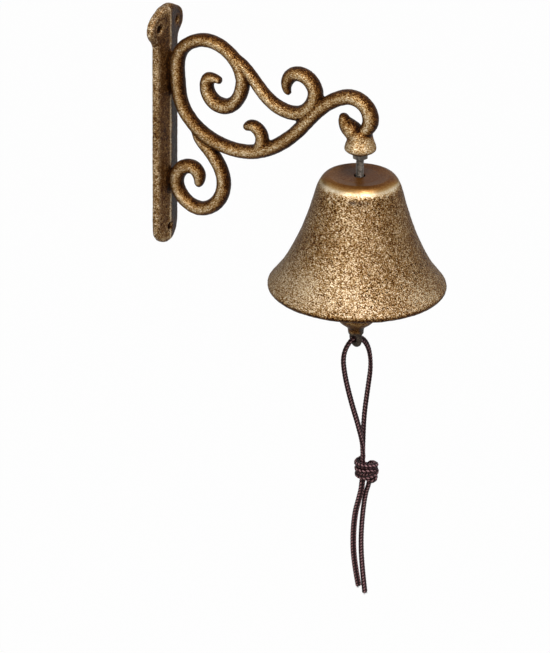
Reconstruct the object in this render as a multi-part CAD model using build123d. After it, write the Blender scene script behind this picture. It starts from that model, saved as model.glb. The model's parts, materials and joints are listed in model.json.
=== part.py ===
from build123d import *
import math
import os

os.makedirs("parts", exist_ok=True)

# Garden bell on a cast scroll bracket. Lengths are in millimetres.
# The origin is the middle of the wall plate's back face. X runs out from the wall and Z runs up.

# Wall plate
plate_height = 142.4
plate_width = 23.0
plate_edge = 4.0
plate_ridge = 5.8
ridge_round = 7.0
head_width = 35.4
head_lobe_radius = 7.9
head_crown_radius = 6.0
head_crown_width = 20.0
neck_round = 7.0
plate_rim_chamfer = 0.6
screw_hole_diameter = 4.6
head_hole_pitch = 19.6
head_hole_drop = 11.0
foot_hole_rise = 10.2

# Scroll bars. Each point is (x, z, section diameter) in the bracket's own plane.
bar_diameter = 8.4
bar_in_plate = 1.9
arm_reach = 125.0
hook_top = 38.6
belly_depth = 5.6
loop_top = 55.3

# Collar that the hook ends in, and the blind hole in it for the bolt
collar_bottom = 7.1
collar_height = 11.4
collar_flare_diameter = 18.0
collar_waist_diameter = 13.4
collar_mouth_diameter = 9.6
thread_hole_depth = 9.5

# Eye bolt, its two nuts and the washer under the crown
bolt_diameter = 4.4
thread_clearance = 0.1
nut_across_flats = 8.0
lock_nut_thickness = 2.8
lock_nut_gap = 0.1
support_nut_thickness = 4.0
washer_diameter = 14.0
washer_thickness = 1.2
washer_hole_diameter = 5.6
rock_clearance = 0.35
eye_inner_diameter = 7.2
eye_neck = 2.4

# Bell
bell_diameter = 100.0
bell_height = 68.0
bell_drop = 12.6
crown_hole_diameter = 6.1
crown_thickness = 4.0
crown_disc_diameter = 34.0
crown_dish_diameter = 24.0
crown_dish_depth = 0.6
shoulder_diameter = 48.0
shoulder_drop = 9.0
lip_bead_radius = 2.1
lip_wall = 4.2
shoulder_wall = 3.0

# Link and clapper
link_wire = 2.4
link_inner_width = 6.6
link_length = 13.0
hook_clearance = 0.35
clapper_eye_wire = 3.8
clapper_eye_inner = 5.6
stem_diameter = 5.6
clapper_reach = 12.8
ball_diameter = 24.0
neck_diameter = 9.4
cord_eye_wire = 3.4
cord_eye_turn = 60.0

# Cord
cord_diameter = 3.2
cord_clearance = 0.2
knot_diameter = 12.0
knot_height = 13.4
knot_drop = 76.6
knot_round = 1.4
tail_drop_left = 67.7
tail_drop_right = 73.0


def eased(points, ends):
    """Bend radii for a cord route: 0.45 of the shorter run over the tangent of half the turn."""
    radii = []
    for before, corner, after in zip(points, points[1:], points[2:]):
        run_in = Vector(*corner) - Vector(*before)
        run_out = Vector(*after) - Vector(*corner)
        half_turn = math.radians(run_in.get_angle(run_out)) / 2
        radii.append(0.45 * min(run_in.length, run_out.length) / math.tan(half_turn))
    print("cord bend radii", ends, [round(radius, 1) for radius in radii])
    return radii


def cord_tube(points, name):
    """A round cord along straight runs joined by tangent arcs."""
    line = FilletPolyline(*points, radius=eased(points, name))
    section = Plane(origin=line @ 0, z_dir=line % 0) * Circle(cord_diameter / 2)
    tube = sweep(section, path=line)
    print(name, "length", round(line.length, 1), "volume ratio",
          round(tube.volume / (line.length * math.pi * cord_diameter ** 2 / 4), 4))
    return tube


def scroll_bar(route, tip=None, tip_round=0.45):
    """A cast bar with a round section that swells and tapers along a smooth line in the XZ plane.

    tip is the route point whose free end is rounded, by tip_round times its diameter.
    """
    line = Spline(*[(x, 0, z) for x, z, diameter in route])
    sections = []
    for x, z, diameter in route:
        at = line.param_at_point(Vector(x, 0, z))
        sections.append(Plane(origin=(x, 0, z), x_dir=(0, 1, 0), z_dir=line % at) * Circle(diameter / 2))
    bar = loft(sections)
    if tip is None:
        return bar
    x, z, diameter = route[tip]
    rim = bar.edges().sort_by_distance(Vector(x, 0, z))
    rim = [edge for edge in rim if abs(edge.length - math.pi * diameter) < 0.1 * diameter]
    return fillet(rim[0], tip_round * diameter)


def ring(inner_diameter, wire):
    """A closed ring of round wire about the Z axis."""
    return Torus((inner_diameter + wire) / 2, wire / 2)


def hex_nut(thickness, hole):
    """A hexagon nut with both faces chamfered, standing on Z 0."""
    body = extrude(RegularPolygon(nut_across_flats / 2, 6, major_radius=False), thickness)
    corner = nut_across_flats / math.sqrt(3)
    crest = nut_across_flats * 0.46
    depth = (corner - crest) * math.tan(math.radians(30))
    profile = Polyline((0, 0), (crest, 0), (corner, depth), (corner, thickness - depth),
                       (crest, thickness), (0, thickness), close=True)
    turned = revolve(Plane.XZ * make_face(profile), Axis.Z)
    return (body & turned) - Cylinder(hole / 2, 3 * thickness)


# Wall plate: a bar with a round foot and a head with two ears, roof-shaped towards the middle
plate_top = plate_height / 2
hole_line = plate_top - head_hole_drop
foot_hole = foot_hole_rise - plate_top
ear_y = head_width / 2 - head_lobe_radius
crown_y = head_crown_width / 2 - head_crown_radius
foot_centre = plate_width / 2 - plate_top
ears = [Pos(side * ear_y, hole_line) * Circle(head_lobe_radius) for side in (-1, 1)]
crowns = [Pos(side * crown_y, plate_top - head_crown_radius) * Circle(head_crown_radius) for side in (-1, 1)]
head = make_hull(Sketch(children=ears + crowns).edges())
bar_rise = hole_line - foot_centre
outline = head + Pos(0, foot_centre + bar_rise / 2) * Rectangle(plate_width, bar_rise)
outline += Pos(0, foot_centre) * Circle(plate_width / 2)
neck = outline.vertices().filter_by_position(Axis.X, -plate_width / 2 - 0.01, plate_width / 2 + 0.01)
neck = neck.filter_by_position(Axis.Y, hole_line - 2 * head_lobe_radius, hole_line - 1)
outline = fillet(neck, neck_round)
half_bar = plate_width / 2
roof = Polyline((0, -head_width), (plate_edge, -head_width), (plate_edge, -half_bar), (plate_ridge, 0),
                (plate_edge, half_bar), (plate_edge, head_width), (0, head_width), close=True)
roof = make_face(roof)
roof = fillet(roof.vertices().sort_by(Axis.X)[-1], ridge_round)
straight_edge = plate_edge - plate_rim_chamfer
plate = extrude(Plane.YZ * outline, straight_edge)
plate += extrude(Plane.YZ.offset(straight_edge) * outline, plate_ridge - straight_edge, taper=45)
plate &= extrude(roof, plate_height, both=True)

# Scroll bars
bar_x = plate_edge - bar_in_plate + bar_diameter
rise_x = arm_reach - 36.2
rise_z = 15.4
main_bar = [
    (38.0, 32.6, 5.0), (29.1, 26.1, 8.4), (40.9, 18.6, 9.2), (51.5, 35.5, 8.4),
    (45.1, 48.4, 7.8), (28.0, loop_top, 8.0), (bar_x + 1.0, 44.8, bar_diameter), (bar_x - 0.3, 30.2, 8.8),
    (bar_x + 2.3, 15.1, bar_diameter), (23.8, 1.6, bar_diameter), (40.5, 0.2 - belly_depth, bar_diameter),
    (56.7, -belly_depth, bar_diameter), (72.7, 1.0, bar_diameter), (rise_x, rise_z, 8.2),
    (rise_x + 10.3, rise_z + 12.0, 8.2), (arm_reach - 14.6, hook_top - 2.6, 8.6),
    (arm_reach - 5.0, hook_top, 8.8), (arm_reach + 4.3, hook_top - 5.6, 9.0),
    (arm_reach + 5.4, hook_top - 14.2, 9.0), (arm_reach, hook_top - 23.0, 8.0),
]
branch_bar = [
    (41.0, 51.0, 5.0), (49.0, 46.4, 7.0), (56.6, 39.8, 7.2), (67.3, 28.4, 7.8), (78.0, 23.2, 8.2),
    (rise_x - 0.4, rise_z + 8.4, 8.6), (rise_x + 6.4, rise_z + 14.8, 9.0),
    (rise_x + 7.9, rise_z + 22.4, 8.8), (rise_x + 2.1, rise_z + 29.8, 8.6),
    (rise_x - 5.2, rise_z + 30.2, 8.2), (rise_x - 9.6, rise_z + 24.8, 7.0), (rise_x - 7.6, rise_z + 18.0, 2.6),
]
leaf_bar = [
    (57.5, -5.0, 5.0), (62.6, -1.8, 7.6), (64.0, 4.4, 7.8), (59.4, 10.1, 7.2), (53.4, 7.4, 4.4),
]
curl_bar = [
    (21.4, 1.0, 5.0), (28.6, -8.0, 7.6), (36.6, -16.9, 8.2), (40.0, -28.4, 8.4), (35.0, -41.0, 8.4),
    (24.0, -46.2, 8.4), (13.6, -41.4, 8.4), (bar_x - 0.9, -31.6, 8.6), (13.6, -23.6, 8.8),
    (20.6, -22.2, 8.2), (24.4, -27.0, 7.4), (22.2, -32.2, 3.4),
]
hook_tip = [
    (arm_reach - 0.6, 15.0, 9.0), (arm_reach - 4.2, 19.0, 11.0), (arm_reach - 9.0, 23.0, 8.8),
    (arm_reach - 10.2, 28.4, 4.4),
]
bracket = plate + scroll_bar(main_bar, 0, 0.25) + scroll_bar(branch_bar)
for route in (leaf_bar, curl_bar, hook_tip):
    bracket += scroll_bar(route, -1)

# Collar: a bell-shaped flare on the bolt's axis, drilled from below for the thread
collar_top = collar_bottom + collar_height
flare_r = collar_flare_diameter / 2
waist_r = collar_waist_diameter / 2
mouth_r = collar_mouth_diameter / 2
flare_z = collar_bottom + 2.6
side = Spline((flare_r, flare_z), (waist_r + 1.1, collar_bottom + 6.8), (waist_r, collar_top),
              tangents=[(-0.1, 1), (0, 1)])
foot = ThreePointArc((mouth_r, collar_bottom), (flare_r - 1.5, collar_bottom + 1.1), (flare_r, flare_z))
closing = Polyline((waist_r, collar_top), (waist_r - 1.6, collar_top + 2.4), (0, collar_top + 2.4),
                   (0, collar_bottom), (mouth_r, collar_bottom))
collar = revolve(Plane.XZ * make_face([foot, side, closing]), Axis.Z)
bracket += Pos(arm_reach, 0, 0) * collar
thread_hole_top = collar_bottom + thread_hole_depth
thread_hole = Cylinder((bolt_diameter + thread_clearance) / 2, thread_hole_depth + 5,
                       align=(Align.CENTER, Align.CENTER, Align.MAX))
bracket -= Pos(arm_reach, 0, thread_hole_top) * thread_hole
screw_hole = Rot(0, 90, 0) * Cylinder(screw_hole_diameter / 2, 6 * plate_ridge)
for y, z in ((-head_hole_pitch / 2, hole_line), (head_hole_pitch / 2, hole_line), (0, foot_hole)):
    bracket -= Pos(0, y, z) * screw_hole

# Levels down the bolt's axis
lock_nut_top = collar_bottom - lock_nut_gap
lock_nut_bottom = lock_nut_top - lock_nut_thickness
crown_top = collar_bottom - bell_drop
lip_level = crown_top - bell_height
crown_seat = crown_top - crown_thickness
washer_bottom = crown_seat - washer_thickness
support_top = washer_bottom - rock_clearance
support_bottom = support_top - support_nut_thickness
eye_mean_r = (eye_inner_diameter + bolt_diameter) / 2
eye_z = support_bottom - eye_neck - eye_mean_r
eye_wire_z = eye_z - eye_mean_r
axis = Pos(arm_reach, 0, 0)
nut_hole = bolt_diameter + thread_clearance

# Eye bolt: shank into the collar, welded ring below with its opening along X
bolt_top = thread_hole_top - 0.5
shank_length = bolt_top - (eye_z + eye_mean_r)
shank = Cylinder(bolt_diameter / 2, shank_length, align=(Align.CENTER, Align.CENTER, Align.MAX))
shank = chamfer(shank.edges().sort_by(Axis.Z)[-1], 0.5)
eye_bolt = axis * Pos(0, 0, bolt_top) * shank
eye_bolt += axis * Pos(0, 0, eye_z) * Rot(0, 90, 0) * ring(eye_inner_diameter, bolt_diameter)

lock_nut = axis * Pos(0, 0, lock_nut_bottom) * hex_nut(lock_nut_thickness, nut_hole)
support_nut = axis * Pos(0, 0, support_bottom) * Rot(0, 0, 17) * hex_nut(support_nut_thickness, nut_hole)

washer = Cylinder(washer_diameter / 2, washer_thickness) - Cylinder(washer_hole_diameter / 2, 9)
crown_washer = axis * Pos(0, 0, washer_bottom + washer_thickness / 2) * washer

# Bell: one turned profile, outer skin, lip bead, inner skin and pierced crown
bell_r = bell_diameter / 2
bead_r = bell_r - lip_bead_radius
lean = math.radians(35)
bead_out = (bead_r + lip_bead_radius * math.cos(lean), lip_bead_radius * (1 + math.sin(lean)))
bead_low = (bead_r + lip_bead_radius * math.sin(lean), lip_bead_radius * (1 - math.cos(lean)))
bead_in = (bead_r - lip_bead_radius * math.cos(lean), lip_bead_radius * (1 - math.sin(lean)))
shoulder_r = shoulder_diameter / 2
shoulder_z = bell_height - shoulder_drop
disc_r = crown_disc_diameter / 2
up_lip = (-math.sin(lean), math.cos(lean))
up_shoulder = (-0.20, 1.0)
skin = [bead_out, (bell_r - 7.5, 12.6), (bell_r - 14.3, 25.3), (bell_r - 19.4, 37.5),
        (bell_r - 23.2, 49.0), (shoulder_r, shoulder_z)]
outer = Spline(*skin, tangents=[up_lip, up_shoulder])
shoulder = Spline((shoulder_r, shoulder_z), (shoulder_r - 2.3, bell_height - 3.6), (disc_r, bell_height),
                  tangents=[up_shoulder, (-1.0, 0.0)])
dish_r = crown_dish_diameter / 2
hole_r = crown_hole_diameter / 2
dish_z = bell_height - crown_dish_depth
top = Spline((disc_r, bell_height), (dish_r, dish_z + 0.15), (dish_r - 5.0, dish_z), (hole_r, dish_z + 0.1),
             tangents=[(-1.0, 0.0), (-1.0, 0.0)])
inside = []
for at in (0.0, 0.2, 0.45, 0.7, 0.9):
    here = outer @ at
    along = outer % at
    wall = lip_wall + (shoulder_wall - lip_wall) * min(1.0, at / 0.45)
    inside.append((here.X - along.Y * wall, here.Y + along.X * wall))
inside[0] = bead_in
seat_z = bell_height - crown_thickness
inner = Spline(*inside, tangents=[up_lip, up_shoulder])
vault = Spline(inside[-1], (shoulder_r - 5.4, seat_z - 1.6), (washer_diameter / 2 + 4.0, seat_z),
               tangents=[up_shoulder, (-1.0, 0.0)])
floor = Polyline((washer_diameter / 2 + 4.0, seat_z), (hole_r, seat_z), (hole_r, dish_z + 0.1))
bead = ThreePointArc(bead_out, bead_low, bead_in)
bell_face = make_face([outer, shoulder, top, floor, vault, inner, bead])
bell = axis * Pos(0, 0, lip_level) * revolve(Plane.XZ * bell_face, Axis.Z)

# Clapper link: a long ring of wire that hangs in the bolt's eye, with its opening along Y
link_top_z = eye_wire_z + bolt_diameter / 2 + hook_clearance + link_wire / 2
link_low_z = link_top_z - link_length
link_half = (link_inner_width + link_wire) / 2
link_straight = link_length - 2 * link_half
bow_section = Plane.XZ * Pos(link_half, 0) * Circle(link_wire / 2)
bow = Rot(90, 0, 0) * revolve(bow_section, Axis.Z, 180)
clapper_link = Pos(0, 0, link_straight / 2) * bow + Pos(0, 0, -link_straight / 2) * Rot(180, 0, 0) * bow
for side in (-link_half, link_half):
    clapper_link += Pos(side, 0, 0) * Cylinder(link_wire / 2, link_straight)
clapper_link = axis * Pos(0, 0, (link_top_z + link_low_z) / 2) * clapper_link

# Clapper: cast in one piece, top eye, stem, ball, neck and the small eye for the cord
clapper_eye_top = link_low_z + link_wire / 2 + hook_clearance + clapper_eye_wire / 2
clapper_eye_r = (clapper_eye_inner + clapper_eye_wire) / 2
clapper_eye_z = clapper_eye_top - clapper_eye_r
ball_r = ball_diameter / 2
ball_z = lip_level - clapper_reach
neck_r = neck_diameter / 2
cord_eye_r = cord_diameter / 2 + cord_clearance + cord_eye_wire / 2
cord_eye_z = ball_z - ball_r - neck_r - 1.6
stem_top = clapper_eye_z - clapper_eye_r
stem_r = stem_diameter / 2
neck_bottom = cord_eye_z + cord_diameter / 2 + cord_clearance + 1.0
body_line = Spline((stem_r, stem_top), (stem_r + 0.3, ball_z + ball_r + 8.0), (ball_r * 0.64, ball_z + ball_r * 0.77),
                   (ball_r, ball_z), (ball_r * 0.80, ball_z - ball_r * 0.62), (neck_r + 0.4, ball_z - ball_r + 0.8),
                   (neck_r - 0.4, neck_bottom), tangents=[(0, -1), (-0.1, -1)])
body_side = Polyline((neck_r - 0.4, neck_bottom), (0, neck_bottom), (0, stem_top), (stem_r, stem_top))
clapper = axis * revolve(Plane.XZ * make_face([body_line, body_side]), Axis.Z)
clapper += axis * Pos(0, 0, clapper_eye_z) * Rot(0, 90, 0) * ring(clapper_eye_inner, clapper_eye_wire)
cord_ring = ring(2 * cord_eye_r - cord_eye_wire, cord_eye_wire)
clapper += axis * Pos(0, 0, cord_eye_z) * Rot(0, 0, cord_eye_turn) * Rot(0, 90, 0) * cord_ring

# Cord: a loop through the clapper's lower eye, a knot and two tails. Route points run from the eye.
# Each point is (to the right, to the back, down) from the eye, seen from the bell's front left.
front = math.radians(27.6)


def seen(right, back, down):
    """Turn a cord point into row coordinates."""
    x = arm_reach + right * math.cos(front) - back * math.sin(front)
    y = right * math.sin(front) + back * math.cos(front)
    return (x, y, cord_eye_z - down)


loop_points = [
    seen(5.6, -1.8, knot_drop), seen(5.6, -1.8, 68.5), seen(3.6, -2.3, 56.5), seen(-1.6, -3.0, 39.0),
    seen(-5.8, -3.9, 21.5), seen(-7.2, -4.3, 8.5), seen(-2.8, -1.7, 0.1), seen(2.8, 1.7, -0.1),
    seen(7.4, 4.4, 6.4), seen(9.3, 4.8, 18.0), seen(7.8, 4.2, 32.0), seen(5.9, 3.0, 49.0),
    seen(5.6, 1.8, 64.5), seen(5.6, 1.8, knot_drop),
]
cord_loop = cord_tube(loop_points, "cord_loop")
knot = Cylinder(knot_diameter / 2, knot_height)
knot = fillet(knot.edges().filter_by(GeomType.CIRCLE), knot_round)
cord_knot = Pos(*seen(8.0, 0.0, knot_drop + knot_height / 2)) * knot
tail_top = knot_drop + knot_height
left_tail_points = [
    seen(5.4, -1.3, tail_top), seen(5.4, -1.3, tail_top + 4.5), seen(4.2, -1.3, tail_top + 10.5),
    seen(2.0, -1.4, tail_top + 20.0), seen(1.2, -1.2, tail_top + 35.5), seen(2.2, -0.9, tail_top + 52.0),
    seen(5.2, -0.7, tail_top + tail_drop_left),
]
right_tail_points = [
    seen(7.8, 1.2, tail_top), seen(7.8, 1.2, tail_top + 8.5), seen(6.5, 1.4, tail_top + 21.0),
    seen(5.8, 1.3, tail_top + 37.5), seen(6.8, 1.1, tail_top + 55.5), seen(9.0, 0.9, tail_top + tail_drop_right),
]
cord_tail_left = cord_tube(left_tail_points, "cord_tail_left")
cord_tail_right = cord_tube(right_tail_points, "cord_tail_right")

nodes = {
    "bracket": bracket,
    "lock_nut": lock_nut,
    "eye_bolt": eye_bolt,
    "support_nut": support_nut,
    "crown_washer": crown_washer,
    "bell": bell,
    "clapper_link": clapper_link,
    "clapper": clapper,
    "cord_loop": cord_loop,
    "cord_knot": cord_knot,
    "cord_tail_left": cord_tail_left,
    "cord_tail_right": cord_tail_right,
}
for name, solid in nodes.items():
    export_step(solid, "parts/" + name + ".step")

print("crown top", crown_top, "lip", lip_level, "seat", crown_seat, "washer bottom", washer_bottom)
print("bolt eye", eye_z, "link pivot", eye_wire_z, "clapper pivot", link_low_z, "ball", ball_z)
print("cord eye", cord_eye_z, "knot", knot_drop, "to", tail_top, "below it")
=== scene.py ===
"""The look of a garden bell that hangs from a cast scroll bracket, with a clapper and a braided pull cord.

Lengths in this file are millimetres, and they become metres where a mesh or an object is made. The frame is
the part's own: the origin is on the wall behind the plate, X runs out from the wall and Z runs up.
"""

from __future__ import annotations

import json
import logging
import math
from dataclasses import dataclass
from enum import Enum
from typing import Sequence

import bmesh
import bpy
import numpy as np
from mathutils import Matrix, Vector

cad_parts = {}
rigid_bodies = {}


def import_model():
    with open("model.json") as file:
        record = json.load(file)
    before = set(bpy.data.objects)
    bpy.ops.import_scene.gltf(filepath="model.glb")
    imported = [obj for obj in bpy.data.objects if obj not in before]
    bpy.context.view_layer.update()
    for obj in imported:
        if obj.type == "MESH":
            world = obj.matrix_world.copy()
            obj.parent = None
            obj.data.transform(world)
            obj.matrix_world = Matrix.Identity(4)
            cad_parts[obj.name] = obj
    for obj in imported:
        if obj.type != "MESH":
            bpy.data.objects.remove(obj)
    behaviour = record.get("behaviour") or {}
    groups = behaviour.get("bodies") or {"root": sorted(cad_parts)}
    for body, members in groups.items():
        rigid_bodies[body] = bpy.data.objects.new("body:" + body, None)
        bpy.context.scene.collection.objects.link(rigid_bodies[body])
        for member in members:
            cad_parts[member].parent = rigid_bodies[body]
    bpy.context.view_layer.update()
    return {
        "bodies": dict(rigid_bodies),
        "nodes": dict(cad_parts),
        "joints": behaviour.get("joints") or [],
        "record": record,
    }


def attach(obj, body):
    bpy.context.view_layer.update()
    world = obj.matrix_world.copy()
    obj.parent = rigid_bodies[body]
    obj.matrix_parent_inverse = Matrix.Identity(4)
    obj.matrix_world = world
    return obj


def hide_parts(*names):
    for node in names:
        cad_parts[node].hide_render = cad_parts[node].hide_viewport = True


Socket = bpy.types.NodeSocket
Material = bpy.types.Material
Rows = np.ndarray

LOG = logging.getLogger("garden_bell")
MM = 0.001
ARM_REACH = 125.0
PICTURE_TURN = math.radians(27.6)


class Body(Enum):
    """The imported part's bodies that this file's pieces ride on."""

    HANGER = "hanger"
    BELL = "bell_body"
    CLAPPER = "clapper_body"
    PULL = "pull"


class Slot(Enum):
    """The record's material slots."""

    IRON = "bronzed_cast_iron"
    STEEL = "dark_steel"
    CORD = "brown_cord"


class Strand(Enum):
    """The two halves of the cord, named for the side of the picture that each hangs on."""

    LEFT = "left"
    RIGHT = "right"


# Colours and nodes


def linear(colour: str) -> tuple[float, float, float, float]:
    """Turn an sRGB hex colour into the linear one that the shader wants.

    Args:
        colour: the colour as "#rrggbb".

    Returns:
        Linear red, green, blue and an opacity of one.
    """
    parts = [int(colour[at:at + 2], 16) / 255 for at in (1, 3, 5)]
    light = [part / 12.92 if part <= 0.04045 else ((part + 0.055) / 1.055) ** 2.4 for part in parts]
    return (light[0], light[1], light[2], 1.0)


class NodeSheet:
    """The node tree of a material or of the world, with short ways to add nodes and to link them."""

    def __init__(self, owner: Material | bpy.types.World, output: str) -> None:
        """Clear the owner's tree and give it an output node.

        Args:
            owner: the material or the world.
            output: the output node's type.
        """
        owner.use_nodes = True
        self.owner = owner
        self.tree = owner.node_tree
        self.tree.nodes.clear()
        self.output = self.add(output)

    def add(self, kind: str, settings: dict | None = None, inputs: dict | None = None) -> bpy.types.Node:
        """Add a node, set its options, and fill or link its inputs.

        Args:
            kind: the node's type.
            settings: attribute names and their values.
            inputs: socket names or numbers, each with a value or with the output socket to link from.

        Returns:
            The new node.
        """
        node = self.tree.nodes.new(kind)
        for name, value in (settings or {}).items():
            setattr(node, name, value)
        for name, value in (inputs or {}).items():
            if isinstance(value, Socket):
                self.tree.links.new(value, node.inputs[name])
            else:
                node.inputs[name].default_value = value
        return node

    def place(self) -> Socket:
        """The object's own coordinates, in metres."""
        return self.add("ShaderNodeTexCoord").outputs["Object"]

    def attribute(self, name: str) -> Socket:
        """The number that the mesh carries under a name."""
        return self.add("ShaderNodeAttribute", {"attribute_name": name}).outputs["Fac"]

    def calculate(self, operation: str, *values: object) -> Socket:
        """Work out a number from numbers and output sockets."""
        return self.add("ShaderNodeMath", {"operation": operation}, dict(enumerate(values))).outputs[0]

    def times(self, first: Socket, second: object) -> Socket:
        """Multiply a number by another number or output socket."""
        return self.calculate("MULTIPLY", first, second)

    def noise(self, place: Socket, size: float, detail: float = 2.0, roughness: float = 0.5,
              distortion: float = 0.0) -> Socket:
        """Smooth noise from 0 to 1, whose largest spots are as wide as the size in millimetres."""
        return self.add("ShaderNodeTexNoise", inputs={
            "Vector": place, "Scale": 1 / (size * MM), "Detail": detail, "Roughness": roughness,
            "Distortion": distortion}).outputs[0]

    def between(self, source: Socket, low: float, high: float, out_low: float = 0.0,
                out_high: float = 1.0) -> Socket:
        """Stretch the span from low to high onto out_low to out_high, and hold it there at both ends."""
        return self.add("ShaderNodeMapRange", inputs={
            "Value": source, "From Min": low, "From Max": high, "To Min": out_low,
            "To Max": out_high}).outputs["Result"]

    def ramp(self, source: Socket, *stops: tuple[float, str]) -> Socket:
        """Colour a number through stops.

        Args:
            source: the number.
            stops: places from 0 to 1, each with an sRGB hex colour.

        Returns:
            The colour.
        """
        node = self.add("ShaderNodeValToRGB", inputs={0: source})
        elements = node.color_ramp.elements
        while len(elements) < len(stops):
            elements.new(0.5)
        for element, (place, colour) in zip(elements, stops):
            element.position = place
            element.color = linear(colour)
        return node.outputs["Color"]

    def cover(self, share: Socket, first: Socket, second: str) -> Socket:
        """Lay a second colour over a first, where the share says how much of the second shows."""
        return self.add("ShaderNodeMix", {"data_type": "RGBA"}, {
            0: share, 6: first, 7: linear(second)}).outputs[2]

    def bump(self, height: Socket, depth: float, strength: float) -> Socket:
        """Tilt the surface as a height would, where the depth is the millimetres from 0 to 1."""
        return self.add("ShaderNodeBump", inputs={
            "Strength": strength, "Distance": depth * MM, "Height": height}).outputs["Normal"]

    def surface(self, inputs: dict) -> None:
        """Finish the sheet with a general surface, from its socket names and what each gets."""
        shader = self.add("ShaderNodeBsdfPrincipled", inputs=inputs)
        self.tree.links.new(shader.outputs[0], self.output.inputs["Surface"])

    def looked_at(self) -> Socket:
        """One where a camera, a reflection or glass looks, and zero where only light arrives."""
        path = self.add("ShaderNodeLightPath")
        seen = path.outputs["Is Camera Ray"]
        for ray in ("Is Glossy Ray", "Is Transmission Ray"):
            seen = self.calculate("MAXIMUM", seen, path.outputs[ray])
        return seen

    def split_view(self, share: object, lit: bpy.types.Node, white: bpy.types.Node) -> None:
        """Finish the sheet with what light meets and, by its share, the white that is looked at."""
        mix = self.add("ShaderNodeMixShader", inputs={0: share, 1: lit.outputs[0], 2: white.outputs[0]})
        self.tree.links.new(mix.outputs[0], self.output.inputs["Surface"])


def new_sheet(name: str) -> NodeSheet:
    """Start a material's node sheet."""
    return NodeSheet(bpy.data.materials.new(name), "ShaderNodeOutputMaterial")


# Finishes


@dataclass(frozen=True)
class GoldRubbedIron:
    """Sand-cast iron in dark brown lacquer, with gold paint dry-brushed over what stands proud.

    The sand leaves a grain of grit and pits. The lacquer is satin and lies dark in the hollows. The paint
    holds metal flake, so it glints, and the dry brush leaves it in short strokes that all lean one way.

    Four attributes of a casting drive it: relief is the height of the grit, the gold rub is how much gold
    the brush left, with painted highlights and painted shade added on the bell and the bracket, grainy is
    how coarse the sand was, and worn is where the paint is gone down to grey metal. The weights say how far
    the grain, the relief and slow patches move the gold's thickness up and down.
    """

    name: str = "gold_rubbed_cast_iron"
    hollow: str = "#120904"
    lacquer: str = "#2d180b"
    brown: str = "#553210"
    dull_gold: str = "#7f5b30"
    gold: str = "#a78b5f"
    bright_gold: str = "#dfd2b8"
    edge_tint: str = "#28130a"
    worn_grey: str = "#47423e"
    stroke_width: float = 0.50
    stroke_stretch: float = 0.50
    stroke_lean: tuple = (0.0, -0.72, 0.89)
    stroke_share: float = 0.55
    grit: float = 0.42
    grain_span: tuple = (0.40, 0.60)
    grain_weight: float = 0.36
    grain_depth: float = 0.064
    relief_weight: float = 0.20
    rub_span: tuple = (0.04, 0.98)
    patch_size: float = 24.0
    patch_weight: float = 0.07
    pit_spacing: float = 2.1
    pit_rim: tuple = (0.14, 0.26)
    pit_depth: float = 1.5
    gold_span: tuple = (0.28, 0.72)
    roughness: float = 0.28
    lacquer_roughness: float = 0.44
    metallic: float = 0.78
    specular: float = 0.1

    def grain(self, sheet: NodeSheet, place: Socket) -> Socket:
        """The fine grain's height from -1 to 1: brush strokes mixed with round grit."""
        brush = sheet.add("ShaderNodeMapping", inputs={
            "Vector": place, "Rotation": self.stroke_lean, "Scale": (self.stroke_stretch, 1.0, 1.0)})
        strokes = sheet.noise(brush.outputs[0], self.stroke_width, distortion=0.35)
        grit = sheet.times(sheet.noise(place, self.grit), 1 - self.stroke_share)
        mixed = sheet.calculate("MULTIPLY_ADD", strokes, self.stroke_share, grit)
        return sheet.between(mixed, *self.grain_span, -1.0, 1.0)

    def thickness(self, sheet: NodeSheet, height: Socket, grainy: Socket, patches: Socket) -> Socket:
        """How thick the gold lies.

        Args:
            sheet: the node sheet.
            height: the fine grain's height.
            grainy: how coarse the sand was.
            patches: the slow change across the casting.

        Returns:
            The thickness, 0 for bare lacquer and 1 for full gold.
        """
        relief = sheet.between(sheet.attribute("relief"), 0.0, 1.0, -self.relief_weight, self.relief_weight)
        thick = sheet.calculate("MULTIPLY_ADD", sheet.times(height, self.grain_weight), grainy, relief)
        # the gold rub attribute holds the brushed gold together with painted highlights and painted shade
        for shift in (sheet.between(sheet.attribute("rub"), 0.0, 1.0, *self.rub_span),
                      sheet.between(patches, 0.3, 0.7, self.patch_weight, -self.patch_weight)):
            thick = sheet.calculate("ADD", thick, shift)
        return thick

    def pits(self, sheet: NodeSheet, place: Socket, grainy: Socket, patches: Socket) -> Socket:
        """One in each round pit and zero outside: in some patches only, and where the sand was coarse."""
        spots = sheet.add("ShaderNodeTexVoronoi", {"feature": "F1"}, {
            "Vector": place, "Scale": 1 / (self.pit_spacing * MM), "Randomness": 1.0}).outputs["Distance"]
        inside = sheet.between(spots, *self.pit_rim, 1.0, 0.0)
        patchy = sheet.times(inside, sheet.between(patches, 0.46, 0.60))
        return sheet.times(patchy, sheet.between(grainy, 0.4, 0.9))

    def material(self) -> Material:
        """Build the finish's material."""
        sheet = new_sheet(self.name)
        place = sheet.place()
        grainy = sheet.attribute("grainy")
        patches = sheet.noise(place, self.patch_size)
        height = self.grain(sheet, place)
        thick = self.thickness(sheet, height, grainy, patches)
        pits = self.pits(sheet, place, grainy, patches)
        colour = sheet.ramp(thick, (0.0, self.hollow), (0.22, self.lacquer), (0.40, self.brown),
                            (0.56, self.dull_gold), (0.74, self.gold), (1.0, self.bright_gold))
        colour = sheet.cover(pits, colour, self.hollow)
        colour = sheet.cover(sheet.attribute("worn"), colour, self.worn_grey)
        gold_share = sheet.between(thick, *self.gold_span)
        dent = sheet.calculate("SUBTRACT", sheet.times(height, grainy), sheet.times(pits, self.pit_depth))
        sheet.surface({
            "Base Color": colour,
            "Metallic": sheet.times(gold_share, self.metallic),
            "Roughness": sheet.between(gold_share, 0.0, 1.0, self.lacquer_roughness, self.roughness),
            "Specular IOR Level": self.specular,
            "Specular Tint": linear(self.edge_tint),
            "Normal": sheet.bump(dent, self.grain_depth, 1.0)})
        return sheet.owner


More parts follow.
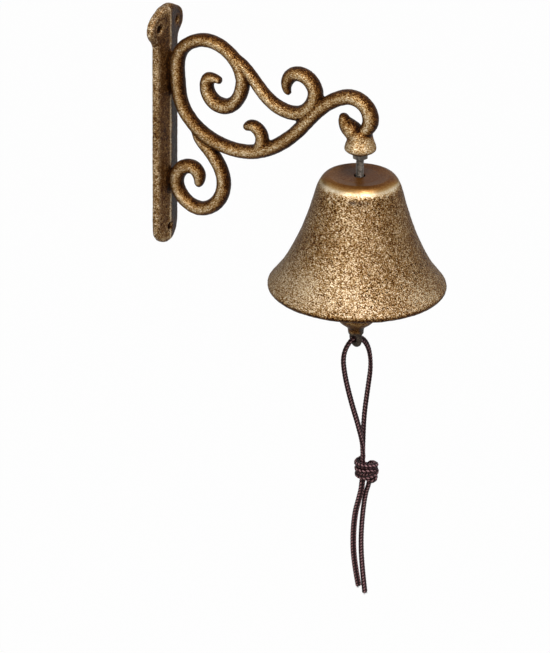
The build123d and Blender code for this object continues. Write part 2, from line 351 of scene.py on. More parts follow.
@dataclass(frozen=True)
class OiledSteel:
    """Plain steel wire, rod and nuts, drawn or turned, and gone dark grey with oil. It is fairly smooth."""

    name: str = "dark_oiled_steel"
    dark: str = "#3a3531"
    light: str = "#7d766d"
    stain: float = 2.4
    stain_depth: float = 0.05
    roughness: tuple = (0.30, 0.50)
    metallic: float = 0.85

    def material(self) -> Material:
        """Build the finish's material."""
        sheet = new_sheet(self.name)
        stain = sheet.noise(sheet.place(), self.stain, detail=5.0, roughness=0.6)
        sheet.surface({
            "Base Color": sheet.ramp(stain, (0.35, self.dark), (0.68, self.light)),
            "Metallic": self.metallic,
            "Roughness": sheet.between(stain, 0.3, 0.7, *self.roughness),
            "Normal": sheet.bump(stain, self.stain_depth, 0.25)})
        return sheet.owner


@dataclass(frozen=True)
class BraidedPolyester:
    """Dark brown braided polyester of smooth filament yarns. Its colour paints shade between the stitches
    and a highlight on the crown of each stitch.
    """

    name: str = "braided_polyester_cord"
    # painted shade in the gaps between stitches
    gap_shade: str = "#0a0304"
    yarn: str = "#2b1618"
    lit_yarn: str = "#644448"
    sheen: str = "#ac8a8d"
    filament: float = 0.3
    filament_depth: float = 0.08
    stitch_share: float = 0.85
    filament_share: float = 0.3
    roughness: float = 0.55
    specular: float = 0.12

    def material(self) -> Material:
        """Build the finish's material."""
        sheet = new_sheet(self.name)
        fibre = sheet.noise(sheet.place(), self.filament, detail=3.0)
        crown = sheet.calculate("ADD", sheet.times(sheet.attribute("relief"), self.stitch_share),
                                sheet.times(fibre, self.filament_share))
        # the ramp paints shade in the stitch gaps and a highlight on the stitch crowns
        colour = sheet.ramp(crown, (0.42, self.gap_shade), (0.70, self.yarn), (0.88, self.lit_yarn),
                            (1.0, self.sheen))
        sheet.surface({
            "Base Color": colour,
            "Roughness": self.roughness,
            "Specular IOR Level": self.specular,
            "Normal": sheet.bump(fibre, self.filament_depth, 0.4)})
        return sheet.owner


@dataclass(frozen=True)
class StudioWhite:
    """Matt white studio paper that looks white to the camera and in reflections.

    seen_share is how much of that white shows. The rest is the paper itself, which keeps a trace of shadow.
    """

    name: str = "studio_white_paper"
    paper: str = "#bdbbb8"
    white: str = "#ffffff"
    seen_share: float = 0.985

    def material(self) -> Material:
        """Build the finish's material."""
        sheet = new_sheet(self.name)
        paper = sheet.add("ShaderNodeBsdfDiffuse", inputs={"Color": linear(self.paper)})
        white = sheet.add("ShaderNodeEmission", inputs={"Color": linear(self.white), "Strength": 1.0})
        sheet.split_view(sheet.times(sheet.looked_at(), self.seen_share), paper, white)
        return sheet.owner


# Numbers and surfaces


def lattice_values(cells: Rows, seed: int) -> Rows:
    """Give each cell of a cubic lattice its own value from -1 to 1, by mixing its whole-number place.

    Args:
        cells: whole-number places, one row each.
        seed: a number that changes the whole set.

    Returns:
        One value per row.
    """
    mixed = ((cells[:, 0] * 73856093) ^ (cells[:, 1] * 19349663) ^ (cells[:, 2] * 83492791)
             ^ (seed * 2654435))
    mixed = (mixed ^ (mixed >> 13)) * 1274126177
    mixed = (mixed ^ (mixed >> 16)) & 0xFFFF
    return mixed / 32767.5 - 1.0


def lattice_noise(points: Rows, cell: float, seed: int) -> Rows:
    """Smooth noise from -1 to 1: the lattice's corner values, blended by the smooth step 3t^2 - 2t^3.

    Args:
        points: places in millimetres, one row each.
        cell: the lattice's spacing in millimetres.
        seed: a number that changes the pattern.

    Returns:
        One value per row.
    """
    scaled = points / cell
    base = np.floor(scaled).astype(np.int64)
    step = scaled - base
    step = step * step * (3 - 2 * step)
    total = np.zeros(len(points))
    for corner in np.ndindex(2, 2, 2):
        shift = np.array(corner)
        weight = np.prod(np.where(shift == 1, step, 1 - step), axis=1)
        total += weight * lattice_values(base + shift, seed)
    return total


def rise(values: Rows, start: float, width: float) -> Rows:
    """Zero up to a start, then straight up to one over a width."""
    return np.clip((values - start) / width, 0, 1)


def fall(values: Rows, end: float, width: float) -> Rows:
    """One far below an end, then straight down to zero over the last width before it."""
    return np.clip((end - values) / width, 0, 1)


def hill(values: Rows, middle: float, half: float) -> Rows:
    """One at a middle, and down on both sides as exp(-t^2), where t counts half widths from the middle."""
    return np.exp(-((values - middle) / half) ** 2)


def distances(line: Rows) -> Rows:
    """How far along a line each of its points is."""
    return np.concatenate([[0.0], np.cumsum(np.linalg.norm(np.diff(line, axis=0), axis=1))])


def smooth_through(points: Sequence[tuple[float, float]], spacing: float) -> Rows:
    """A smooth line through points: on each stretch the cubic whose end slopes point at the neighbours.

    Args:
        points: the points, in order.
        spacing: about how far apart the samples are.

    Returns:
        The sampled line, one row each, first and last points included.
    """
    knots = np.array(points, float)
    before = np.vstack([2 * knots[0] - knots[1], knots[:-1]])
    after = np.vstack([knots[1:], 2 * knots[-1] - knots[-2]])
    slopes = (after - before) / 2
    pieces = []
    for start, end, slope_a, slope_b in zip(knots, knots[1:], slopes, slopes[1:]):
        count = max(2, int(np.linalg.norm(end - start) / spacing))
        t = np.linspace(0, 1, count, endpoint=False)[:, None]
        pieces.append(start * (2 * t ** 3 - 3 * t ** 2 + 1) + end * (3 * t ** 2 - 2 * t ** 3)
                      + slope_a * (t ** 3 - 2 * t ** 2 + t) + slope_b * (t ** 3 - t ** 2))
    return np.vstack(pieces + [knots[-1:]])


def turned(radius: Rows, height: Rows, sides: int) -> Rows:
    """Turn a profile about the Z axis: x = r cos a, y = r sin a, z = h.

    Args:
        radius: one row per ring, with one radius for the ring or one for each of its points.
        height: one row per ring, with the ring's height.
        sides: points around each ring.

    Returns:
        Points, rings first, as an array of rings, sides and three millimetres.
    """
    angle = np.linspace(0, 2 * np.pi, sides, endpoint=False)
    return np.stack(np.broadcast_arrays(radius * np.cos(angle), radius * np.sin(angle), height), axis=-1)


def tube_faces(rings: int, sides: int, closed: bool = False, offset: int = 0) -> Rows:
    """The quads between closed rings of points, counted ring by ring.

    Args:
        rings: how many rings.
        sides: how many points each ring has.
        closed: whether the last ring joins the first.
        offset: the number of the first point.

    Returns:
        One row of four vertex numbers per quad.
    """
    row, column = np.meshgrid(np.arange(rings if closed else rings - 1), np.arange(sides), indexing="ij")
    next_row = (row + 1) % rings
    next_column = (column + 1) % sides
    quads = np.stack([row * sides + column, row * sides + next_column,
                      next_row * sides + next_column, next_row * sides + column], axis=-1)
    return quads.reshape(-1, 4) + offset


def add_object(name: str, data: bpy.types.ID) -> bpy.types.Object:
    """Put a mesh, a curve, a lamp or a camera into the scene."""
    thing = bpy.data.objects.new(name, data)
    bpy.context.scene.collection.objects.link(thing)
    return thing


def mesh_object(name: str, points: Rows, *faces: Rows, smooth: bool = True) -> bpy.types.Object:
    """Put points in millimetres and faces into a new object at the origin.

    Args:
        name: the object's name.
        points: one row of three millimetres per vertex.
        faces: arrays of faces, with one row of vertex numbers per face.
        smooth: whether the faces are shaded smooth.

    Returns:
        The new object.
    """
    mesh = bpy.data.meshes.new(name)
    mesh.from_pydata(points * MM, [], [row for group in faces for row in group.tolist()])
    mesh.validate()
    mesh.update()
    mesh.polygons.foreach_set("use_smooth", np.full(len(mesh.polygons), smooth))
    return add_object(name, mesh)


def evaluated_mesh(thing: bpy.types.Object) -> bpy.types.Mesh:
    """Copy an object's shape, with its modifiers or its curve worked out, into a new mesh."""
    bpy.context.view_layer.update()
    evaluated = thing.evaluated_get(bpy.context.evaluated_depsgraph_get())
    return bpy.data.meshes.new_from_object(evaluated)


def vertex_rows(mesh: bpy.types.Mesh, what: str) -> Rows:
    """Read three numbers per vertex, one row each: "co" in metres, or "normal"."""
    rows = np.empty(len(mesh.vertices) * 3)
    mesh.vertices.foreach_get(what, rows)
    return rows.reshape(-1, 3)


def place_vertices(thing: bpy.types.Object, places: Rows) -> None:
    """Move an object's vertices to rows of millimetres."""
    thing.data.vertices.foreach_set("co", (places * MM).ravel())
    thing.data.update()


def mark(thing: bpy.types.Object, **values: Rows) -> None:
    """Store numbers from 0 to 1 at the vertices, under names that the finishes read.

    Args:
        thing: the object.
        values: one number per vertex under each name.
    """
    for name, numbers in values.items():
        attribute = thing.data.attributes.new(name, "FLOAT", "POINT")
        attribute.data.foreach_set("value", np.clip(numbers, 0.0, 1.0).astype(np.float32))


def spread(thing: bpy.types.Object, values: Rows, rounds: int) -> Rows:
    """Average values over each vertex and its neighbours, several times.

    Args:
        thing: the object whose edges say who the neighbours are.
        values: one row of numbers per vertex.
        rounds: how many times to average.

    Returns:
        The averaged values.
    """
    edges = np.empty(len(thing.data.edges) * 2, dtype=np.int64)
    thing.data.edges.foreach_get("vertices", edges)
    first, second = edges.reshape(-1, 2).T
    total = len(values)
    count = np.bincount(first, minlength=total) + np.bincount(second, minlength=total) + 1.0
    for _ in range(rounds):
        summed = values.copy()
        for at in range(values.shape[1]):
            summed[:, at] += np.bincount(first, values[second, at], total)
            summed[:, at] += np.bincount(second, values[first, at], total)
        values = summed / count[:, None]
    return values


def coat(thing: bpy.types.Object, material: Material) -> None:
    """Give a piece one material in place of what it had."""
    thing.data.materials.clear()
    thing.data.materials.append(material)


def dress(thing: bpy.types.Object, material: Material, body: Body, slot: Slot,
          *nodes: str) -> None:
    """Give a piece its material and its body, and hide the CAD nodes that it stands for.

    Args:
        thing: the piece.
        material: its material.
        body: the body it rides on.
        slot: the record's slot for its finish; not used.
        nodes: the CAD nodes it replaces.
    """
    coat(thing, material)
    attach(thing, body.value)
    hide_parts(*nodes)
    LOG.info("%s: %d vertices on %s", thing.name, len(thing.data.vertices), body.value)


# Castings


@dataclass(frozen=True)
class SandGrain:
    """What the sand leaves on a casting: lumps and finer grit, each a smooth noise with a height and size.

    The shares say how strongly each of them shows in the relief that the gold's brush caught on.
    """

    lump: float = 0.11
    lump_size: float = 3.2
    grit: float = 0.08
    grit_size: float = 1.0
    seed: int = 3
    lump_share: float = 0.10
    grit_share: float = 0.42

    def noises(self, places: Rows) -> tuple[Rows, Rows]:
        """The lumps and the grit at each place, both from -1 to 1."""
        return (lattice_noise(places, self.lump_size, self.seed),
                lattice_noise(places, self.grit_size, self.seed + 1))

    def push(self, lumps: Rows, grit: Rows) -> Rows:
        """How far the grain moves the skin outwards, in millimetres."""
        return self.lump * lumps + self.grit * grit

    def relief(self, lumps: Rows, grit: Rows, share: Rows) -> Rows:
        """The grain's height about a middle of a half, weaker where the sand's share is small."""
        return 0.5 + (self.lump_share * lumps + self.grit_share * grit) * share


@dataclass
class SandCasting:
    """A casting made from its CAD solid: the edges melted a little, and the sand's lumps and pits raised.

    voxel is the fineness of the new skin, melt the rounds of smoothing that round its edges, and settle the
    rounds that level it to see what bulges. A bulge of bulge_full millimetres would take the gold from none
    to full, and bulge_span is the least and the most that bulges change it.
    """

    node: str
    body: Body
    voxel: float = 0.56
    melt: int = 3
    settle: int = 14
    bulge_full: float = 0.34
    bulge_span: tuple = (-0.40, 0.22)
    grain: SandGrain = SandGrain()
    grainy: float = 1.0

    def skin(self, frame: dict) -> bpy.types.Object:
        """Copy the CAD solid and cover it with even voxel faces.


        Returns:
            The new object.
        """
        mesh = frame["nodes"][self.node].data.copy()
        merged = bmesh.new()
        merged.from_mesh(mesh)
        bmesh.ops.remove_doubles(merged, verts=merged.verts, dist=0.002 * MM)
        bmesh.ops.recalc_face_normals(merged, faces=merged.faces)
        merged.to_mesh(mesh)
        merged.free()
        for attribute in [a for a in mesh.attributes if a.name == "custom_normal"]:
            mesh.attributes.remove(attribute)
        for key in list(mesh.keys()):
            del mesh[key]
        thing = add_object(self.node + "_casting", mesh)
        remesh = thing.modifiers.new("skin", "REMESH")
        remesh.mode = "VOXEL"
        remesh.voxel_size = self.voxel * MM
        skin = evaluated_mesh(thing)
        thing.modifiers.clear()
        thing.data = skin
        skin.name = thing.name
        skin.polygons.foreach_set("use_smooth", np.full(len(skin.polygons), True))
        return thing

    def cast(self, thing: bpy.types.Object) -> None:
        """Melt the edges, then push each vertex along its normal by the two sizes of grain.

        How far the skin bulges is the distance from a vertex to its levelled place, along the normal.

        Args:
            thing: the casting's object.
        """
        places = spread(thing, vertex_rows(thing.data, "co") / MM, self.melt)
        place_vertices(thing, places)
        normals = vertex_rows(thing.data, "normal")
        bulge = np.einsum("ij,ij->i", places - spread(thing, places, self.settle), normals)
        rub, worn = self.paint(places, normals, np.clip(bulge / self.bulge_full, *self.bulge_span))
        grainy = self.sand(places)
        lumps, grit = self.grain.noises(places)
        place_vertices(thing, places + normals * self.grain.push(lumps, grit)[:, None])
        mark(thing, relief=self.grain.relief(lumps, grit, grainy), rub=rub, worn=worn, grainy=grainy)

    def sand(self, places: Rows) -> Rows:
        """Say how coarse the sand was at each place, 0 to 1."""
        return np.full(len(places), self.grainy)

    def paint(self, places: Rows, normals: Rows, bulge: Rows) -> tuple[Rows, Rows]:
        """Say how much gold the brush left at each place, with any painted highlights and shade added, and
        where the paint is worn off.

        Args:
            places: the skin's points in millimetres.
            normals: its unit normals.
            bulge: how much gold its bulges and creases add or take.

        Returns:
            The gold with any painted light added, and the wear, one number each per point.
        """
        raise NotImplementedError

    def build(self, frame: dict, material: Material) -> None:
        thing = self.skin(frame)
        self.cast(thing)
        dress(thing, material, self.body, Slot.IRON, self.node)


class BracketCasting(SandCasting):
    """The bracket: gold on the plate's edges and scrolls, a painted highlight on the ridge and painted
    shade on the roof's far slope, dark brown on the plate's flat faces.
    """

    plate_depth: float = 6.4
    plate_grain: float = 1.0
    plate_gold: float = 0.31
    ridge_half: float = 0.8
    # painted highlight along the roof's ridge, and painted shade on its far slope
    ridge_highlight_gold: float = 0.42
    far_slope_shade: float = 0.30
    wall_side_loss: float = 0.20
    # painted highlight on the bars' broad faces with painted shade at their edges, and a painted highlight
    # on faces that look up
    broad_face_highlight: float = 0.58
    top_highlight_gold: float = 0.10
    collar_top: float = 19.0
    collar_radius: float = 10.5
    collar_gold: float = 0.58

    def paint(self, places: Rows, normals: Rows, bulge: Rows) -> tuple[Rows, Rows]:
        """The broad faces and the tops get more gold: a painted highlight on the bars, with painted shade
        at their edges. The roof gets a painted highlight along its ridge and painted shade on its far
        slope.
        """
        out, across, up = places.T
        bars = rise(out, self.plate_depth, 1.5)
        # painted highlight on the broad faces and on upward faces, painted shade at the bars' edges
        scroll = (0.5 * bulge + self.broad_face_highlight * np.abs(normals[:, 1]) ** 3
                  + self.top_highlight_gold * np.clip(normals[:, 2], 0, 1))
        near = np.hypot(out - ARM_REACH, across) < self.collar_radius
        collar = fall(up, self.collar_top, 2.0) * near
        scroll += (self.collar_gold + 0.4 * bulge - scroll) * collar
        # painted highlight along the ridge and painted shade on the far slope of the roof
        ridge_highlight = hill(across, 0.0, self.ridge_half)
        shaded_slope = (1 - ridge_highlight) * rise(across, 0.0, 1.5)
        roof = (1 - bars) * rise(normals[:, 0], 0.5, 0.3)
        plate = (self.plate_gold + bulge
                 + roof * (self.ridge_highlight_gold * ridge_highlight - self.far_slope_shade * shaded_slope)
                 - self.wall_side_loss * rise(-normals[:, 0], 0.5, 0.3))
        return bars * scroll + (1 - bars) * plate, np.zeros(len(places))

    def sand(self, places: Rows) -> Rows:
        """The plate is coarse and the scrolls are finer."""
        share = rise(places[:, 0], self.plate_depth, 4.0)
        return self.plate_grain + (self.grainy - self.plate_grain) * share


class ClapperCasting(SandCasting):
    """The clapper: orange-brown on the ball, with the gold gone from its neck and its lower eye."""

    gold: float = 0.36
    wear: float = 0.92
    neck_level: float = -95.0
    eye_level: float = -99.6

    def paint(self, places: Rows, normals: Rows, bulge: Rows) -> tuple[Rows, Rows]:
        """Nothing but grey iron is left on the lower eye, and on the neck's right side in the picture."""
        out, across, up = places.T
        right = (out - ARM_REACH) * math.cos(PICTURE_TURN) + across * math.sin(PICTURE_TURN)
        neck = fall(up, self.neck_level, 1.5) * rise(right, 1.5, 1.5)
        eye = fall(up, self.eye_level, 1.2)
        return self.gold + 0.5 * bulge, self.wear * np.maximum(eye, neck)


@dataclass(frozen=True)
class BellCasting:
    """The bell: a turned skin with a beaded lip, a rounded shoulder and a dished crown, cast in sand.

    Heights are above the lip. The profile runs from the bead's inner side round the bead, up the outer
    skin, over the shoulder and the crown, through the hole and down the inner skin. The crown's points are
    counted from the dish's floor. lean turns the bead about its centre, so that it meets both skins. The
    wear is a streak at one azimuth under the shoulder.
    """

    lip_level: float = -73.5
    radius: float = 50.0
    height: float = 68.0
    bead: float = 2.1
    lean: float = 35.0
    bead_step: float = 12.0
    dish: float = 0.6
    crown: float = 4.0
    crown_points: tuple = ((14.2, 0.25), (11.0, 0.0), (3.45, 0.05))
    hole_radius: float = 3.05
    hole_edge: float = 0.3
    sides: int = 448
    fine: float = 0.55
    coarse: float = 1.3
    groove: float = 0.10
    groove_pitch: float = 2.3
    outer_points: tuple = ((42.5, 12.6), (35.7, 25.3), (30.6, 37.5), (26.8, 49.0), (24.0, 59.0),
                           (22.9, 62.1), (21.3, 65.0), (19.4, 67.0), (17.0, 67.9))
    inner_points: tuple = ((18.6, 62.4), (22.2, 55.0), (24.9, 45.5), (28.3, 35.6), (33.5, 23.4),
                           (40.8, 9.9))
    grain: SandGrain = SandGrain(lump=0.09, lump_size=3.0, grit=0.09, seed=11)
    smooth_level: float = 65.4
    smooth_run: float = 3.4
    smoothest: float = 0.15
    inside_rough: float = 0.5
    inside_grainy: float = 0.6
    gold: float = 0.53
    # painted highlight: extra gold, so a paler tone, low on the skirt
    skirt_highlight_gold: float = 0.10
    skirt_highlight_level: float = 12.0
    skirt_highlight_half: float = 12.0
    # painted highlight: a narrow band of extra gold round the outside of the shoulder
    shoulder_highlight_gold: float = 0.42
    shoulder_highlight_level: float = 64.2
    shoulder_highlight_half: float = 1.6
    disc_loss: float = 0.09
    disc_radius: float = 20.0
    disc_level: float = 60.0
    # darker at the lip, over the bead
    lip_darkening: float = 0.34
    lip_height: float = 3.4
    inside_loss: float = 0.32
    wear: float = 0.85
    wear_azimuth: float = -66.0
    wear_spread: float = 0.22
    wear_level: float = 60.2
    wear_half: float = 1.1

    def profile(self) -> tuple[Rows, int]:
        """The closed profile.

        Returns:
            The (radius, height) rows, and how many of them are the outer skin with the crown.
        """
        angle = math.radians(self.lean) - np.radians(np.arange(180, -1, -self.bead_step))
        centre = np.array([self.radius - self.bead, self.bead])
        bead = centre + self.bead * np.stack([np.cos(angle), np.sin(angle)], axis=1)
        outer = smooth_through([tuple(bead[-1]), *self.outer_points], self.fine)
        dish_level = self.height - self.dish
        crown = smooth_through([self.outer_points[-1],
                                *((reach, dish_level + up) for reach, up in self.crown_points)], self.fine)
        crown[:, 1] -= self.groove * np.sin(2 * np.pi * crown[:, 0] / self.groove_pitch) ** 2
        ceiling = self.height - self.crown
        wall, edge = self.hole_radius, self.hole_edge
        hole = np.array([(wall, dish_level - edge), (wall, dish_level - 1.6), (wall, ceiling + edge),
                         (wall + edge, ceiling), (7.0, ceiling), (11.0, ceiling)])
        inner = smooth_through([(13.5, ceiling - 0.1), *self.inner_points, tuple(bead[0])], self.coarse)
        outside = np.vstack([bead, outer[1:], crown[1:]])
        return np.vstack([outside, hole, inner[:-1]]), len(outside)

    def paint(self, points: Rows, lumps: Rows, inside: Rows) -> tuple[Rows, Rows]:
        """Say how much gold the brush left, with painted highlights on the shoulder and the lower skirt,
        and where it is worn off.

        Args:
            points: the turned skin about its own axis, before the grain.
            lumps: the coarse grain.
            inside: which points are on the inner skin.

        Returns:
            The gold with its painted highlights, and the wear, one number each per point.
        """
        height = points[:, 2]
        radius = np.hypot(points[:, 0], points[:, 1])
        # painted highlight: extra gold in a narrow band round the shoulder's outside
        shoulder_highlight = hill(height, self.shoulder_highlight_level, self.shoulder_highlight_half) * (radius > self.disc_radius - 1.0) * ~inside
        disc = fall(radius, self.disc_radius, 1.5) * (height > self.disc_level)
        # the skirt term paints a highlight low on the bell as extra gold
        rub = (self.gold + self.skirt_highlight_gold * hill(height, self.skirt_highlight_level, self.skirt_highlight_half)
               + self.shoulder_highlight_gold * shoulder_highlight - self.disc_loss * disc
               # darker at the lip
               - self.lip_darkening * fall(height, self.lip_height, 1.6) - self.inside_loss * inside)
        azimuth = np.arctan2(points[:, 1], points[:, 0]) - math.radians(self.wear_azimuth)
        streak = hill(np.angle(np.exp(1j * azimuth)), 0.0, self.wear_spread)
        worn = self.wear * streak * hill(height, self.wear_level, self.wear_half) * (1 + 0.8 * lumps)
        return rub, worn * ~inside

    def build(self, material: Material) -> None:
        """Turn the profile, add the casting's grain and dress the bell."""
        profile, outside = self.profile()
        points = turned(profile[:, :1], profile[:, 1:], self.sides).reshape(-1, 3)
        faces = tube_faces(len(profile), self.sides, closed=True)[:, ::-1]
        thing = mesh_object("bell_casting", points, faces)
        inside = np.repeat(np.arange(len(profile)) >= outside, self.sides)
        rough = np.where(inside, self.inside_rough, np.clip(
            (self.smooth_level - points[:, 2]) / self.smooth_run, self.smoothest, 1.0))
        lumps, grit = self.grain.noises(points)
        push = self.grain.push(lumps, grit) * rough
        place_vertices(thing, points + vertex_rows(thing.data, "normal") * push[:, None]
                       + np.array([ARM_REACH, 0.0, self.lip_level]))
        rub, worn = self.paint(points, lumps, inside)
        mark(thing, relief=self.grain.relief(lumps, grit, rough), rub=rub, worn=worn,
             grainy=np.where(inside, self.inside_grainy, rough))
        dress(thing, material, Body.BELL, Slot.IRON, "bell")


# Cord


@dataclass(frozen=True)
class CordHalf:
    """One half of the cord: its route, how it lies on its route, and the CAD nodes that it stands for.

    Route points are (to the right, to the back, down) as seen from the bell's front left. Those above and
    below the knot are counted from the clapper's lower eye, and the knot's from its own top. twist holds
    (millimetres along, degrees) pairs, where 0 turns the cord's wide side to the front.
    """

    strand: Strand
    nodes: tuple
    above: tuple
    knot: tuple
    below: tuple
    twist: tuple
    fray_seed: int


LEFT_HALF = CordHalf(
    strand=Strand.LEFT,
    nodes=("cord_loop", "cord_tail_left"),
    above=((0.0, 0.0, 0.0), (-2.8, -1.7, 0.1), (-7.2, -4.3, 8.5), (-5.8, -3.9, 21.5), (-1.6, -3.0, 39.0),
           (3.6, -2.3, 56.5), (5.6, -1.8, 68.5)),
    knot=((-2.4, -1.8, -1.5), (-1.9, -0.8, 3.0), (-1.0, 0.0, 7.5), (0.2, -0.8, 11.4), (2.6, -2.6, 12.2),
          (5.2, -2.2, 11.0), (5.3, 1.6, 9.4), (2.0, 4.8, 8.4), (-2.4, 4.7, 8.0), (-5.3, 1.8, 8.0),
          (-5.2, -2.2, 8.3), (-1.8, -5.1, 8.4), (2.4, -5.2, 7.5), (5.6, -2.4, 6.6), (5.2, 2.0, 5.6),
          (2.0, 4.8, 5.0), (-2.4, 4.7, 4.9), (-5.3, 1.8, 4.9), (-5.2, -2.2, 5.0), (-2.0, -4.9, 4.7),
          (1.6, -4.7, 4.3), (3.8, -2.6, 5.4), (3.2, 0.8, 7.6), (0.0, 1.2, 9.8), (-2.2, -0.6, 12.2),
          (-2.4, -1.4, 15.0)),
    below=((5.4, -1.3, 94.5), (4.2, -1.3, 100.5), (2.0, -1.4, 110.0), (1.2, -1.2, 125.5),
           (2.2, -0.9, 142.0), (5.2, -0.7, 157.7)),
    twist=((0.0, 62.0), (60.0, 70.0), (75.0, 20.0), (150.0, 0.0), (230.0, 0.0)),
    fray_seed=5,
)

RIGHT_HALF = CordHalf(
    strand=Strand.RIGHT,
    nodes=("cord_knot", "cord_tail_right"),
    above=((0.0, 0.0, 0.0), (2.8, 1.7, -0.1), (7.4, 4.4, 6.4), (9.3, 4.8, 18.0), (7.8, 4.2, 32.0),
           (5.9, 3.0, 49.0), (5.6, 1.8, 64.5)),
    knot=((-2.4, 1.2, -4.0), (-1.9, 3.1, -0.8), (-2.5, 5.0, 1.3), (-5.4, 3.0, 1.9), (-5.6, -1.4, 1.9),
          (-2.0, -4.9, 1.5), (2.2, -4.9, 1.5), (5.2, -2.2, 2.1), (5.0, 2.0, 2.6), (2.2, 3.9, 3.4),
          (0.2, 2.2, 5.6), (1.2, 0.8, 9.0), (1.7, 0.3, 12.0), (1.7, 0.4, 15.0)),
    below=((7.8, 1.2, 98.5), (6.5, 1.4, 111.0), (5.8, 1.3, 127.5), (6.8, 1.1, 145.5), (9.0, 0.9, 163.0)),
    twist=((0.0, 70.0), (30.0, 8.0), (75.0, 0.0), (110.0, 66.0), (230.0, 78.0)),
    fray_seed=8,
)


@dataclass(frozen=True)
class PullCord:
    """The braided cord: one length, folded through the clapper's lower eye and tied in an overhand knot.

    Each half is a free cord of its own, from the eye through the knot to its tail's end. The braid is a
    little flat, and flatness is how much wider it is than thick. Towards the cut it narrows to cut_share of
    its size, by one in cut_run millimetres. The tuft's filaments differ within fray_lengths and fray_bends.
    """

    diameter: float = 3.2
    flatness: float = 1.36
    eye_level: float = -104.6
    knot_level: float = 76.6
    knot_right: float = 8.0
    columns: int = 4
    stitch: float = 1.9
    stitch_rise: float = 0.36
    stitch_depth: float = 0.34
    sides: int = 48
    ring_spacing: float = 0.22
    cut_run: float = 1.2
    cut_share: float = 0.66
    fray_count: int = 16
    fray_length: float = 2.4
    fray_lengths: tuple = (0.45, 1.0)
    fray_bends: tuple = (-0.2, 0.7)
    fray_radius: float = 0.16
    fray_reach: float = 0.36
    fray_inset: float = 0.8
    cap_relief: float = 0.4
    fray_relief: float = 0.8

    def place(self, point: Sequence[float]) -> tuple[float, float, float]:
        """Turn a cord point into row coordinates in millimetres."""
        right, back, down = point
        return (ARM_REACH + right * math.cos(PICTURE_TURN) - back * math.sin(PICTURE_TURN),
                right * math.sin(PICTURE_TURN) + back * math.cos(PICTURE_TURN),
                self.eye_level - down)

    def centre_line(self, half: CordHalf) -> Rows:
        """The smooth line of one half, read from a NURBS spline with the route's points as its controls.

        Args:
            half: which half.

        Returns:
            Rows of millimetres about ring_spacing apart.
        """
        knot = [(self.knot_right + right, back, self.knot_level + down) for right, back, down in half.knot]
        points = [self.place(point) for point in (*half.above, *knot, *half.below)]
        curve = bpy.data.curves.new("route_" + half.strand.value, "CURVE")
        curve.dimensions = "3D"
        curve.resolution_u = 48
        spline = curve.splines.new("NURBS")
        spline.points.add(len(points) - 1)
        for control, point in zip(spline.points, points):
            control.co = (*(value * MM for value in point), 1.0)
        spline.order_u = 3
        spline.use_endpoint_u = True
        guide = add_object(curve.name, curve)
        mesh = evaluated_mesh(guide)
        line = vertex_rows(mesh, "co") / MM
        bpy.data.objects.remove(guide)
        bpy.data.meshes.remove(mesh)
        bpy.data.curves.remove(curve)
        line = line[np.concatenate([[True], np.diff(distances(line)) > 1e-6])]
        along = distances(line)
        wanted = np.linspace(0.0, along[-1], int(along[-1] / self.ring_spacing) + 1)
        return np.stack([np.interp(wanted, along, line[:, axis]) for axis in range(3)], axis=1)

    def frames(self, line: Rows) -> tuple[Rows, Rows]:
        """Two directions square to the line at each point: across the picture, and towards its front.

        The first is the picture's own direction to the right, less its share along the line, and where the
        line runs that way it is carried on from the point before.

        Args:
            line: the centre line.

        Returns:
            Two arrays of unit rows.
        """
        tangents = np.gradient(line, axis=0)
        tangents /= np.linalg.norm(tangents, axis=1)[:, None]
        side = np.empty_like(tangents)
        carried = np.array([math.cos(PICTURE_TURN), math.sin(PICTURE_TURN), 0.0])
        for at, tangent in enumerate(tangents):
            carried = carried - tangent * np.dot(carried, tangent)
            carried = carried / np.linalg.norm(carried)
            side[at] = carried
        return side, np.cross(tangents, side)

    def braid(self, along: Rows, around: Rows) -> Rows:
        """The braid's height from 0 to 1: columns of slanted stitches, leaning left and right by turns.

        A stitch's height is the sine across its column times the sine along it, to the power 0.4, and each
        column's stitches rise towards the border that it shares with the next, so that two make a V.

        Args:
            along: millimetres along the cord.
            around: angles around it.

        Returns:
            The height at each place.
        """
        across = around * self.columns / (2 * np.pi)
        share = across - np.floor(across)
        leaning = np.where(np.floor(across) % 2 == 0, share, 1 - share)
        phase = along / self.stitch + leaning * self.stitch_rise * 2
        return (np.abs(np.sin(np.pi * phase)) * np.sin(np.pi * share)) ** 0.4

    def skin(self, half: CordHalf, line: Rows, side: Rows, other: Rows) -> tuple[Rows, Rows]:
        """The braided tube: at each point of the line an ellipse, turned by the half's twist.

        The ellipse is the braid's radius times the root of the flatness one way, and over it the other way.

        Args:
            half: which half.
            line: the centre line.
            side: a direction square to it at each point.
            other: the third direction.

        Returns:
            The rings' points, and the braid's height at each.
        """
        along = distances(line)
        around = np.linspace(0, 2 * np.pi, self.sides, endpoint=False)
        relief = self.braid(along[:, None], around[None, :])
        closing = np.clip((along[-1] - along) / self.cut_run + self.cut_share, 0.0, 1.0)[:, None]
        radius = (self.diameter / 2 - self.stitch_depth * (1 - relief)) * closing
        wide = radius * np.cos(around) * self.flatness ** 0.5
        thick = radius * np.sin(around) / self.flatness ** 0.5
        places, turns = np.array(half.twist).T
        twist = np.radians(np.interp(along, places, turns))[:, None]
        to_side = (wide * np.cos(twist) - thick * np.sin(twist))[..., None]
        to_other = (wide * np.sin(twist) + thick * np.cos(twist))[..., None]
        rings = line[:, None, :] + to_side * side[:, None, :] + to_other * other[:, None, :]
        return rings.reshape(-1, 3), relief.ravel()

